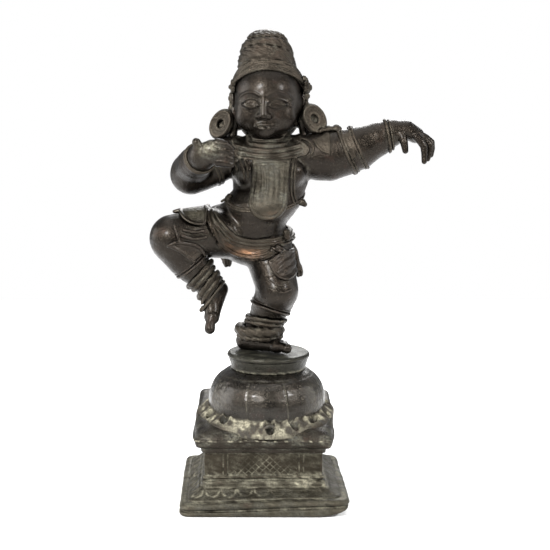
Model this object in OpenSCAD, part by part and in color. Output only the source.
// Dancing figure in cast bronze, on a lotus pedestal and a moulded square plinth.
// Millimetres. +Z is up, -Y is the front, and the origin is the middle of the plinth's underside.
// "right" and "left" are the figure's own right and left: its right side lies at -X.

/* [Plinth] */
// Width of the plinth's lowest moulding
plinth_w = 64.2; // [60:0.2:70]
// Width of the square die above the mouldings
die_w = 44.8; // [42:0.2:46]
// Wall thickness of the hollow castings
wall = 3; // [2.5:0.25:4]

/* [Lotus pedestal] */
// Width of the square slab that carries the lotus
slab_w = 53; // [50:0.2:56]
// Radius of the lotus dome at its widest
dome_r = 22.8; // [21:0.1:24]
// Radius of the collar's top, where the figure stands
collar_r = 16.1; // [15:0.1:18]
// Number of petals round the foot of the dome
petals = 8; // [6:1:12]

/* [Figure] */
// Height of the figure, from the collar's top to the top of its hair
figure_h = 123.8; // [100:0.2:150]
// Number of tiers in the piled-up hair
hair_tiers = 3; // [2:1:4]
// How far the cloth and jewellery stand out from the body
relief = 0.9; // [0.6:0.1:1.2]

/* [Hidden] */
bronze = "#4a4238";
bronze_worn = "#6a4a34";
bronze_bright = "#5a5546";
patina = "#5b5c4a";
pin_metal = "#6b5a3a";

// Heights of the plinth's and pedestal's members, from the floor up.
fillet_z = 1.9;    // top of the lowest fillet
torus_z = 4.9;     // top of the rounded moulding
slope_z = 8.8;     // top of the sloping moulding
step_z = 11.2;     // top of the step
base_z = 12.2;     // top of the plinth's mouldings, where the die begins
die_z = 22.3;      // top of the die
neck_z = 25;       // underside of the slab
slab_edge_z = 27.5;
slab_z = 33.2;     // top of the slab, in the middle
seat_slope = 4.5;  // the slab's top falls this many degrees towards the front
dome_z = 50;       // top of the dome
stand_z = 56.7;    // top of the collar
lotus_x = 0.2;     // the dome sits slightly off the plinth's centre
collar_x = 1.4;    // and the collar slightly further
hollow_w = die_w - 2 * wall;
hollow_r = 15;     // radius of the hollow inside the slab and the dome
collar_foot_r = collar_r - 1.5;
tenon_r = 3;
tenon_foot = 43;   // lower end of the tenon, inside the dome
dome_top = 4;      // thickness of metal over the dome's hollow
pin_r = 1;
pin_len = 14;

// Half profiles of the square mouldings, each as [height, how much narrower than the plinth].
fillet_profile = [[0, 0], [fillet_z, 0]];
torus_profile = [[fillet_z, 0.5], [fillet_z + 0.8, 0], [torus_z - 1, 0.5], [torus_z, 2.6]];
slope_profile = [[torus_z, 4.4], [6.1, 9], [7.5, 13], [slope_z, 15.2]];
step_profile = [[slope_z, 16.4], [step_z, 17.6]];
die_foot_profile = [[step_z, 18.2], [base_z, 19]];

nominal_h = 123.8; // the figure's height for which its landmarks are written
size_k = figure_h / nominal_h;
overlap = 0.6;     // how far cutting tools reach past the faces that they cut
tool = 40;         // size of a block or disc that only trims

// Landmarks of the figure at its nominal height, from the middle of the collar's top.
hip_l = [1.2, 0, 42];
knee_l = [5, -8, 25.2];
ankle_l = [-1.8, 0, 8.5];
heel_l = [-8, 2.5, 3.2];
toe_l = [9.8, -7.6, 2.4];
hip_r = [-11, -2, 45.5];
knee_r = [-34.5, -13.5, 46];
ankle_r = [-20.8, -11, 27];
heel_r = [-17.2, -8.6, 25.6];
toe_r = [-20.6, -15.6, 10.9];
shoulder_r = [-13, -0.5, 77];
elbow_r = [-28, -6.5, 69.6];
wrist_r = [-22.4, -23.5, 77];
tips_r = [-16.4, -34, 80.4];
shoulder_l = [16, 0, 76.5];
elbow_l = [35, -2, 77.6];
wrist_l = [48.4, -4, 84.7];
knuckle_l = [58.5, -5, 85];
tips_l = [61, -6, 75];
neck = [1.4, 0.5, 83];
head = [1.4, -0.5, 96.5];
crown = [0.8, 1, 110];

// The same landmarks with the half widths of the body there: [centre, [half x, half y, half z]].
pelvis_form = [
    [[-3.6, 0, 39.5], [11.4, 10, 6]],
    [[-5.4, -0.3, 45], [12.9, 11, 6]],
    [[-5.1, -0.8, 50], [13, 11.4, 5]]];
torso_form = [
    [[-4, -0.8, 52], [13.2, 11.3, 4]],
    [[-1, -1.6, 57.5], [14.4, 11.8, 5]],
    [[1.7, -0.8, 63], [13.8, 10.4, 5]],
    [[2.4, -0.4, 69], [15, 10.6, 6]],
    [[2.2, 0, 74.5], [15.4, 10, 6]],
    [[1.6, 0.4, 78.5], [11, 7.6, 4.5]]];
neck_form = [[neck - [0, 0, 5], [6.6, 6.4, 3]], [neck + [0, 0, 3], [6.4, 6.2, 3]]];
thigh_l_form = [[hip_l, [9.3, 9.8, 7]], [[2.6, -3.4, 35], [9.1, 9.6, 7]], [knee_l, [8, 8.2, 7.6]]];
shin_l_form = [[knee_l, [7.8, 8, 7.6]], [[3.6, -5, 20.5], [8.1, 8.2, 6]],
    [[1, -2, 14.5], [7, 7.2, 5]], [ankle_l, [6, 6.2, 4]]];
thigh_r_form = [[hip_r, [9, 9.4, 9.2]], [[-22, -8, 47.2], [9, 9.4, 9.3]], [knee_r, [8.4, 8.6, 8.8]]];
shin_r_form = [[knee_r + [0.6, 0.4, -1.5], [8, 8.2, 8]], [[-29.5, -12.6, 38], [7.6, 7.6, 7]],
    [[-24.2, -11.4, 31.2], [5.8, 5.8, 5.2]], [ankle_r, [4.8, 5, 4.6]]];
upper_arm_r_form = [[shoulder_r, [7.5, 7.6, 8]], [[-20.6, -3, 72], [7, 7.2, 7.6]], [elbow_r, [7.6, 7.8, 7.8]]];
forearm_r_form = [[elbow_r + [0.6, -1, 0.6], [7.2, 7.4, 7.4]], [[-25.6, -15, 73.4], [6.6, 6.6, 6.8]],
    [wrist_r, [5, 4.6, 5]]];
upper_arm_l_form = [[shoulder_l, [9, 8.2, 9.2]], [[25, -1, 76.2], [8.6, 8.2, 9.6]], [elbow_l, [7.8, 7.6, 8.7]]];
forearm_l_form = [[elbow_l, [7.4, 7.4, 8.2]], [[43, -3, 81.8], [6, 6.2, 6.7]], [wrist_l, [4.4, 4.6, 5]]];

$fn = 48;

// ---- helpers ----

// A freely modelled shape, taken as one mesh.
module modelled(c) color(c) resize([0, 0, 0]) children();

// Puts the figure's own frame on the collar's top.
module on_stand() translate([0, 0, stand_z + 0.02]) scale(size_k) children();

// An ellipsoid, grown by g on every side.
module blob(c, r, g = 0, n = 16) translate(c) scale([r.x + g, r.y + g, r.z + g]) sphere(1, $fn = n);

// A body part: ellipsoids joined one to the next.
module form(stations, g = 0, n = 16)
    for (i = [0 : len(stations) - 2]) hull() {
        blob(stations[i][0], stations[i][1], g, n);
        blob(stations[i + 1][0], stations[i + 1][1], g, n);
    }

// A finger, toe or cord: equal or tapering balls joined one to the next.
module digit(points, radii, n = 8)
    for (i = [0 : len(points) - 2]) hull() {
        translate(points[i]) sphere(radii[i], $fn = n);
        translate(points[i + 1]) sphere(radii[i + 1], $fn = n);
    }

// Turns +Z to the direction d and moves to c.
module aim(c, d) translate(c) rotate([0, acos(d.z / norm(d)), atan2(d.y, d.x)]) children();

// A flat disc of height h across the direction d, that trims a band from a body part.
module slice(c, d, h) aim(c, d) cylinder(h = h, r = tool, center = true, $fn = 6);

module plain_block(w, z0, z1) translate([-w / 2, -w / 2, z0]) cube([w, w, z1 - z0]);

// A square block whose width changes evenly from its foot to its head.
module square_taper(w0, w1, z0, z1) translate([0, 0, z0]) rotate(45)
    cylinder(h = z1 - z0, r1 = w0 / sqrt(2), r2 = w1 / sqrt(2), $fn = 4);

module square_moulding(profile) for (i = [0 : len(profile) - 2])
    square_taper(plinth_w - profile[i][1], plinth_w - profile[i + 1][1], profile[i][0], profile[i + 1][0]);

module hollow(z0, z1) plain_block(hollow_w, z0, z1);

module lotus_axis() translate([lotus_x, 0, 0]) children();

module collar_axis() translate([collar_x, 0, 0]) children();

// ---- plinth ----

module plinth_base() color(patina) difference() {
    union() {
        plain_block(plinth_w, 0, fillet_z);
        for (profile = [torus_profile, slope_profile, step_profile, die_foot_profile]) square_moulding(profile);
    }
    hollow(-overlap, base_z + overlap);
}

module plinth_die() color(bronze_bright) difference() {
    union() {
        plain_block(die_w, base_z, die_z);
        for (x = [-1, 1], y = [-1, 1]) // corner pilasters
            translate([x * (die_w / 2 - 3), y * (die_w / 2 - 3), (base_z + die_z) / 2])
                cube([6.6, 6.6, die_z - base_z], center = true);
    }
    hollow(base_z - overlap, die_z + overlap);
}

// ---- lotus pedestal ----

module lotus_slab() color(bronze) difference() {
    union() {
        square_taper(die_w + 2.4, die_w + 3.4, die_z, neck_z);
        square_taper(slab_w - 2.4, slab_w, neck_z, slab_edge_z);
        square_taper(slab_w, slab_w - 0.6, slab_edge_z, slab_z + 3);
    }
    above_seat();
    hollow(die_z - overlap, slab_edge_z);
    lotus_axis() cylinder(r = hollow_r, h = slab_z + tool);
}

// The space over the slab's sloping top.
module above_seat(lift = 0) translate([0, 0, slab_z + lift]) rotate([seat_slope, 0, 0])
    translate([-tool, -tool, 0]) cube([2 * tool, 2 * tool, tool]);

dome_foot_r = dome_r - 0.9;
dome_foot_z = slab_z - 3; // below the seat's lowest point under the dome

// Outline of the dome: a quarter-round swelling from its foot to the collar's foot.
function dome_outline() = let (mid = slab_z + 4.2) concat(
    [[dome_foot_r, dome_foot_z], [dome_foot_r + 0.3, slab_z], [dome_r, mid]],
    [for (a = [10 : 10 : 70]) [
        collar_foot_r - 2 + (dome_r - collar_foot_r + 2) * cos(a),
        mid + (dome_z - mid) * sin(a)]],
    [[collar_foot_r, dome_z]]);

module lotus_dome() color(bronze) difference() {
    intersection() {
        lotus_axis() rotate_extrude() polygon(concat([[0, dome_foot_z]], dome_outline(), [[0, dome_z]]));
        above_seat();
    }
    lotus_axis() translate([0, 0, dome_foot_z - overlap])
        cylinder(r = hollow_r, h = dome_z - dome_top - 5 - dome_foot_z + overlap);
    lotus_axis() translate([0, 0, dome_z - dome_top - 5.5]) cylinder(r = hollow_r - 4, h = 5.5);
    collar_axis() cylinder(r = tenon_r, h = dome_z + overlap);
}

// One petal, lying outwards from the dome's foot with its tip turned up.
module petal() {
    width = 0.72 * PI * dome_r / petals;
    hull() for (y = [-width, 0, width]) {
        reach = y == 0 ? 2.6 : 0.4;
        translate([dome_foot_r + reach, y * 0.82, 0.6]) sphere(1.2, $fn = 8);
        translate([dome_foot_r - 1.6, y, 2.2]) sphere(1.4, $fn = 8);
    }
    translate([dome_foot_r + 3.2, 0, 1]) scale([1, 1.4, 1.1]) sphere(1, $fn = 8);
}

module lotus_petals() modelled(patina) difference() {
    translate([lotus_x, 0, slab_z]) rotate([seat_slope, 0, 0])
        for (i = [0 : petals - 1]) rotate(-90 + i * 360 / petals) petal();
    lotus_axis() rotate_extrude($fn = 48) polygon(concat([[0, 0]], [[dome_foot_r, 0]],
        [for (p = dome_outline()) p + [0.06, 0]], [[0, dome_z]]));
    translate([0, 0, slab_z + 0.02]) rotate([seat_slope, 0, 0]) translate([0, 0, -tool / 2])
        cube([2 * tool, 2 * tool, tool], center = true);
}

module lotus_collar() color(patina) collar_axis() difference() {
    rotate_extrude() polygon([[0, dome_z], [collar_foot_r - 0.4, dome_z], [collar_foot_r, dome_z + 1.2],
        [collar_r, stand_z - 1.4], [collar_r, stand_z - 0.6], [collar_r - 0.7, stand_z], [0, stand_z]]);
    cylinder(r = tenon_r, h = stand_z + overlap);
}

// ---- how the figure is held ----

module figure_tenon() color(pin_metal) difference() {
    collar_axis() translate([0, 0, tenon_foot]) cylinder(r = tenon_r - 0.02, h = stand_z - tenon_foot);
    pin_hole();
}

module pin_hole(r = pin_r + 0.02) collar_axis() translate([0, 0, tenon_foot + 1.4])
    rotate([0, 90, 0]) cylinder(r = r, h = pin_len, center = true);

module tenon_pin() color(pin_metal) pin_hole(pin_r);

// ---- body ----

module pelvis() modelled(bronze) on_stand() difference() {
    form(pelvis_form);
    form(thigh_l_form);
    form(thigh_r_form);
}

module torso() modelled(bronze) on_stand() difference() {
    union() {
        form(torso_form);
        for (x = [-7.6, 7.4]) blob([x + 2, -7.4, 71.5], [4.6, 3.6, 4.4], 0, 12); // breasts
    }
    form(pelvis_form);
    form(upper_arm_l_form);
    form(upper_arm_r_form);
    form(neck_form);
}

module neck() modelled(bronze) on_stand() difference() {
    form(neck_form);
    skull();
}

module skull(g = 0) {
    blob(head + [0, 0, 1], [12.6, 12.8, 13], g, 24);
    hull() { // cheeks and chin
        blob(head + [0, -1.4, -3], [12.2, 11, 9.4], g, 24);
        blob(head + [0, -4.4, -11], [4.4, 4.4, 3.2], g, 16);
    }
}

module head() modelled(bronze) on_stand() {
    skull();
    hull() { // nose
        blob(head + [0, -12.6, 2], [1.2, 1, 1.4], 0, 12);
        blob(head + [0, -13.4, -2.6], [2.4, 1.8, 1.5], 0, 12);
    }
}

// The diadem lies in a plane that rises towards the forehead.
diadem_at = head + [0, -9, 10];
diadem_axis = [0, 0.6, 1];

module hair_form(g = 0) {
    blob(head + [0, 0.8, 1], [13.8, 13.8, 14.4], g, 24);
    blob(head + [0, 5, -3], [12.8, 10, 13], g);
}

module hair_cap() modelled(bronze) on_stand() difference() {
    intersection() {
        hair_form();
        union() {
            aim(diadem_at, diadem_axis) translate([0, 0, tool / 2]) cube(tool, center = true);
            translate(head + [0, tool / 2 + 3, -6]) cube(tool, center = true);
        }
    }
    skull();
    form(neck_form);
}

// Piled-up hair: tiers that shrink as they rise.
function tier_profile() = [for (i = [0 : hair_tiers - 1], p = [[0, 0], [1, 0.25], [1, 0.7]])
    let (r = 10.7 - 2.7 * pow(i / max(1, hair_tiers - 1), 2), step = 15.4 / hair_tiers)
        [r * (0.9 + 0.1 * p.x), (i + p.y) * step]];

module topknot() modelled(bronze) on_stand() difference() {
    translate(crown + [0, 0, -3.7]) rotate_extrude($fn = 24)
        polygon(concat([[0, 0]], tier_profile(), [[5, 16.2], [0, 17.2]]));
    hair_form(0.02);
}

module diadem() modelled(bronze_bright) on_stand() difference() {
    intersection() {
        blob(head + [0, 0.8, 1], [13.8, 13.8, 14.4], relief, 24);
        aim(diadem_at, diadem_axis) cylinder(h = 4.6, r = tool, center = true, $fn = 6);
    }
    hair_form(0.02);
    skull();
    translate(crown + [0, 0, -3.7]) cylinder(r = 10.8, h = tool, $fn = 24);
}

module hair_bun() modelled(bronze) on_stand() difference() {
    form([[head + [0, 12, -6], [8, 5, 4]], [head + [0, 12.5, -11], [9, 4.6, 4]]], 0, 16);
    hair_form(0.02);
}

// ---- ears and their jewellery ----

ear_r = head + [-13, -0.5, -3.5];
ear_l = head + [13.2, -0.5, -3.5];
ring_r = [-15.4, -2, 88];
ring_l = [17.8, -2, 90];

module ear(at, ring_at) difference() {
    form([[at + [0, 0, 2.6], [1.5, 2.6, 2.6]], [at + [0, 0, -2.4], [1.3, 2, 2.4]],
        [(at + ring_at) / 2 + [0, 0, 0.4], [1.1, 1.4, 1.8]]], 0, 12);
    skull(0.02);
    hair_form(0.02);
    earring(ring_at);
}

module earring(at, r = 3, t = 2)
    aim(at, [at.x > 0 ? 0.42 : -0.62, -1, 0]) scale([1, 0.88, 1])
        rotate_extrude($fn = 20) translate([r, 0]) circle(t, $fn = 8);

module ear_flower(x) difference() {
    aim(head + [x, -1, 3.6], [sign(x), -0.5, 0.2]) {
        cylinder(r = 2.2, h = 1.6, center = true, $fn = 8);
        for (i = [0 : 4]) rotate(i * 72) translate([2, 0, 0]) cylinder(r = 1.1, h = 1.4, center = true, $fn = 6);
        cylinder(r = 1.1, h = 2.6, center = true, $fn = 6);
    }
    hair_form(0.02);
    blob(head + [0, 0.8, 1], [13.8, 13.8, 14.4], relief + 0.02, 24);
    skull(0.02);
}

module ear_right() modelled(bronze) on_stand() ear(ear_r, ring_r);
module ear_left() modelled(bronze) on_stand() ear(ear_l, ring_l);
module earring_right() modelled(bronze_bright) on_stand() earring(ring_r);
module earring_left() modelled(bronze_bright) on_stand() earring(ring_l);
module ear_flower_right() modelled(bronze_bright) on_stand() ear_flower(-14);
module ear_flower_left() modelled(bronze_bright) on_stand() ear_flower(14);

// ---- arms ----

module upper_arm_right() modelled(bronze) on_stand() form(upper_arm_r_form);
module upper_arm_left() modelled(bronze) on_stand() form(upper_arm_l_form);

module forearm_right() modelled(bronze) on_stand() difference() {
    form(forearm_r_form);
    form(upper_arm_r_form);
}

module forearm_left() modelled(bronze) on_stand() difference() {
    form(forearm_l_form);
    form(upper_arm_l_form);
}

// Right hand: held up and forward, fingers together, thumb up.
module hand_right() modelled(bronze) on_stand() difference() {
    union() {
        palm = (wrist_r + tips_r) / 2 - [0.6, -0.6, 0.4];
        hull() {
            blob(wrist_r + [0.3, -0.5, 0.2], [3.6, 3.4, 4.2], 0, 12);
            blob(palm, [3.4, 2.6, 4.6], 0, 12);
        }
        for (i = [0 : 3]) { // fingers, stacked from the index down to the little finger
            base = palm + [0, 0, 3.4 - i * 2.2];
            tip = tips_r + [-1 - 0.3 * i, 0.6 * i, 1.6 - i * 2.1];
            digit([base, (base + tip) / 2 + [0.4, 0, 0.3], tip], [1.5, 1.35, 1.1]);
        }
        digit([wrist_r + [-0.5, -2, 2], wrist_r + [-1, -3, 3.6], wrist_r + [-1.8, -3.4, 5.4]], [1.7, 1.5, 1.2]);
    }
    form(forearm_r_form);
}

// Left hand: bent down at the wrist, fingers hanging.
module hand_left() modelled(bronze) on_stand() difference() {
    union() {
        hull() {
            blob(wrist_l + [1.5, 0, 0.6], [3.6, 4, 4.2], 0, 12);
            blob(knuckle_l - [2.6, 0, 0.6], [3.6, 4.2, 3.2], 0, 12);
        }
        for (i = [0 : 3]) {
            base = knuckle_l + [-1, -3.6 + i * 2.3, -1];
            bend = knuckle_l + [3.4, -4 + i * 2.5, -5 + 0.5 * i];
            tip = tips_l + [-1.4 + 1.3 * i, -3.8 + i * 2.5, 0.2 + 1.2 * i];
            digit([base, bend, tip], [1.6, 1.4, 1]);
        }
        digit([wrist_l + [4.2, -3.4, -2], wrist_l + [5, -4.4, -5], wrist_l + [5.2, -4.6, -7.6]], [1.7, 1.4, 1.1]);
    }
    form(forearm_l_form);
}

// ---- legs ----

module thigh_left() modelled(bronze) on_stand() form(thigh_l_form);

module thigh_right() modelled(bronze) on_stand() difference() {
    form(thigh_r_form);
    form(thigh_l_form);
}

module shin_left() modelled(bronze) on_stand() difference() {
    form(shin_l_form);
    form(thigh_l_form);
}

module shin_right() modelled(bronze) on_stand() difference() {
    form(shin_r_form);
    form(thigh_r_form);
}

// A foot from heel to toes: up is the instep's side, and turn is 1 for a left foot, -1 for a right one.
module foot(heel, toe, ankle, up, turn) {
    ahead = (toe - heel) / norm(toe - heel);
    side = turn * cross(ahead, up) / norm(cross(ahead, up)); // towards the big toe
    ball = toe - 5 * ahead;
    hull() {
        blob(heel + 0.4 * up, [3.2, 3.2, 3.2], 0, 12);
        blob(ankle, [4.4, 4.4, 3.6], 0, 12);
    }
    hull() {
        blob(heel, [3, 3, 3], 0, 12);
        blob(ball + 1.4 * side, [2.2, 2.2, 2], 0, 12);
        blob(ball - 2 * side, [2, 2, 1.8], 0, 12);
        blob(ankle, [3.4, 3.4, 3], 0, 12);
    }
    for (i = [0 : 4]) { // toes, from the big toe to the little toe
        root = ball + (2.6 - 1.45 * i) * side - 0.4 * i * ahead;
        digit([root, root + (4.6 - 0.6 * i) * ahead], [i == 0 ? 1.9 : 1.4, i == 0 ? 1.6 : 1.1]);
    }
}

module standing_foot() foot(heel_l, toe_l, ankle_l - [0, 0, 1.5], [0, 0, 1], 1);

module raised_foot() foot(heel_r, toe_r, ankle_r, [-0.95, -0.1, 0.26], -1);

module foot_left() modelled(bronze) on_stand() difference() {
    standing_foot();
    form(shin_l_form);
    translate([0, 0, -tool / 2]) cube([2 * tool, 2 * tool, tool], center = true);
}

module foot_right() modelled(bronze) on_stand() difference() {
    raised_foot();
    form(shin_r_form);
}

// ---- cloth and jewellery on the body: a band or shape taken from a grown body part ----

module on_torso(g) difference() {
    intersection() {
        union() { form(torso_form, g); form(pelvis_form, g); }
        children();
    }
    form(torso_form, 0.02);
    form(pelvis_form, 0.02);
    for (f = [upper_arm_l_form, upper_arm_r_form, thigh_l_form, thigh_r_form]) form(f, 0.02);
}

module necklace() modelled(bronze_bright) on_stand() difference() {
    union() {
        aim(neck + [0, -1.6, -3.2], [0, -0.5, 1]) scale([1.2, 1, 1]) rotate_extrude($fn = 28)
            translate([8, 0]) scale([1, 0.7]) circle(2.6, $fn = 10);
        on_torso(relief) slice(neck + [0, -8, -7.5], [0, -0.55, 1], 6);
    }
    form(neck_form, 0.02);
    form(torso_form, 0.03);
    skull(0.02);
    for (at = [ring_r, ring_l]) earring(at);
}

module breast_pendant() modelled(bronze_bright) on_stand() difference() {
    intersection() {
        form(torso_form, relief + 0.5);
        translate([2.4, 0, 0]) rotate([90, 0, 0]) linear_extrude(tool) hull() {
            translate([-6, 72]) square([12, 2]);
            translate([0.3, 59.6]) scale([1, 0.9]) circle(6.4, $fn = 24);
        }
    }
    form(torso_form, 0.02);
    form(pelvis_form, 0.03);
    slice(neck + [0, -8, -7.5], [0, -0.55, 1], 6.1);
}

module sacred_thread() modelled(bronze_bright) on_stand() difference() {
    on_torso(relief * 0.7) slice([3, 0, 67], [0.82, 0.1, 0.57], 1.6);
    translate([2.4, 0, 0]) rotate([90, 0, 0]) linear_extrude(tool) translate([-7, 50]) square([14, 30]);
    slice([1.4, 0, 61.4], [-0.12, 0, 1], 2.6);
}

module chest_band() modelled(bronze_bright) on_stand() difference() {
    on_torso(relief * 0.8) slice([1.4, 0, 61.4], [-0.12, 0, 1], 2.4);
    translate([2.4, 0, 0]) rotate([90, 0, 0]) linear_extrude(tool) translate([-7, 50]) square([14, 30]);
}

module hip_belt() modelled(bronze_bright) on_stand() on_torso(relief + 0.6)
    slice([-4, 0, 50.4], [0.1, -0.06, 1], 3);

// Curved cloth across the front of the hips, hanging from thigh to thigh.
module apron() modelled(bronze_worn) on_stand() difference() {
    intersection() {
        hull() {
            blob([-5, -1, 44], [12.4, 11, 8], relief);
            blob([-14, -4, 46], [8, 9.4, 8.6], relief);
            blob([1.8, -1.6, 39], [9, 9.7, 6], relief);
        }
        translate([-6.5, -2, 0]) rotate([90, 0, 0]) linear_extrude(tool) difference() {
            translate([0, 48.4]) rotate(-12) scale([1, 0.78]) circle(16.2, $fn = 28);
            translate([-tool / 2, 47.6]) square([tool, tool]);
        }
    }
    form(pelvis_form, 0.02);
    for (f = [thigh_l_form, thigh_r_form]) form(f, 0.02);
}

tail_r_form = [[[-13.4, 3, 40], [2.6, 1.8, 4]], [[-13.8, 3, 34.8], [2.1, 1.6, 2.6]]];
tail_l_form = [[[10.2, 3.4, 38.5], [2.2, 2, 4]], [[12.6, 3.4, 32.4], [1.7, 1.5, 2.6]]];

module sash_tail_right() modelled(bronze) on_stand() difference() {
    form(tail_r_form, 0, 12);
    form(pelvis_form, 0.02);
    for (f = [thigh_l_form, thigh_r_form]) form(f, 0.02);
}

module sash_tail_left() modelled(bronze) on_stand() difference() {
    form(tail_l_form, 0, 12);
    form(pelvis_form, 0.02);
    form(thigh_l_form, 0.02);
}

module thigh_cloth_right() modelled(bronze_bright) on_stand() difference() {
    intersection() {
        form(thigh_r_form, relief);
        slice([-21.5, -8, 47], [1, 0.45, 0], 9);
        translate([-22, -8, 52]) cube([tool, tool, 14], center = true);
    }
    form(thigh_r_form, 0.02);
    form(pelvis_form, relief + 0.82);
}

module thigh_cloth_left() modelled(bronze) on_stand() difference() {
    intersection() {
        form(thigh_l_form, relief);
        slice([3, -3, 34.5], [0, 0.35, 1], 8);
        translate([11, -8, 34]) cube([19, tool, tool], center = true);
    }
    form(thigh_l_form, 0.02);
    form(pelvis_form, relief + 0.82);
    form(thigh_r_form, relief + 0.02);
    form(tail_l_form, 0.02, 12);
}

// A band round a limb, standing g proud of it.
module limb_band(stations, g, at, across, h, keep_off = []) difference() {
    intersection() {
        form(stations, g);
        slice(at, across, h);
    }
    form(stations, 0.02);
    for (f = keep_off) form(f, 0.02);
}

module armlet_right() modelled(bronze_bright) on_stand()
    limb_band(upper_arm_r_form, relief + 0.2, [-21.5, -3, 72], [-0.85, -0.3, -0.4], 3.4, [forearm_r_form, torso_form]);

module armlet_left() modelled(bronze_bright) on_stand() difference() {
    union() {
        limb_band(upper_arm_l_form, relief + 0.2, [29, -1.2, 77], [1, -0.1, 0.12], 2, [forearm_l_form]);
        limb_band(upper_arm_l_form, relief, [33.4, -1.8, 78], [1, -0.1, 0.22], 1.4, [forearm_l_form]);
        form([[[23, -2, 86.4], [4, 2.6, 1.6]], [[30, -2, 86], [2, 2, 1.4]]], 0, 12);
    }
    form(upper_arm_l_form, 0.02);
}

module bangle_right() modelled(bronze_bright) on_stand()
    limb_band(forearm_r_form, relief, wrist_r + [-0.8, 2.2, -1], wrist_r - [-27, -15, 73.4], 1.8);

module bangle_left() modelled(bronze_bright) on_stand()
    limb_band(forearm_l_form, relief, wrist_l - [1.2, 0, 0.6], wrist_l - elbow_l, 2);

module calf_band_right() modelled(bronze_bright) on_stand()
    limb_band(shin_r_form, 0.6, [-27, -12, 34.6], [0.62, 0.1, -0.78], 1.2, [thigh_r_form]);

module calf_band_left() modelled(bronze_bright) on_stand()
    limb_band(shin_l_form, 0.6, [2, -2, 18.4], [0.42, 0, 0.9], 1.2, [thigh_l_form]);

module anklets_right() modelled(bronze_bright) on_stand() difference() {
    union() {
        aim([-23, -11.2, 30], [0.6, 0, -0.8]) rotate_extrude($fn = 20) translate([5.2, 0]) circle(1.1, $fn = 6);
        aim([-20.6, -11, 26.4], [0.66, -0.2, -0.7]) rotate_extrude($fn = 20) translate([5, 0]) circle(1.2, $fn = 6);
    }
    form(shin_r_form, 0.02);
    raised_foot();
}

module anklets_left() modelled(bronze_bright) on_stand() difference() {
    union() {
        aim([-0.8, 0, 11.2], [0.16, 0, 1]) rotate_extrude($fn = 24) translate([6.4, 0]) circle(1.2, $fn = 6);
        aim([-1.8, -0.4, 7.6], [0.1, 0.1, 1]) rotate_extrude($fn = 24) translate([7.2, 0]) circle(1.5, $fn = 6);
    }
    form(shin_l_form, 0.02);
    standing_foot();
}

// ---- the nodes ----

plinth_base();
plinth_die();
lotus_slab();
lotus_petals();
lotus_dome();
lotus_collar();
figure_tenon();
tenon_pin();
pelvis();
torso();
neck();
head();
hair_cap();
topknot();
diadem();
hair_bun();
ear_right();
ear_left();
earring_right();
earring_left();
ear_flower_right();
ear_flower_left();
upper_arm_right();
forearm_right();
hand_right();
upper_arm_left();
forearm_left();
hand_left();
thigh_right();
shin_right();
foot_right();
thigh_left();
shin_left();
foot_left();
necklace();
breast_pendant();
sacred_thread();
chest_band();
hip_belt();
apron();
sash_tail_right();
sash_tail_left();
thigh_cloth_right();
thigh_cloth_left();
armlet_right();
armlet_left();
bangle_right();
bangle_left();
calf_band_right();
calf_band_left();
anklets_right();
anklets_left();
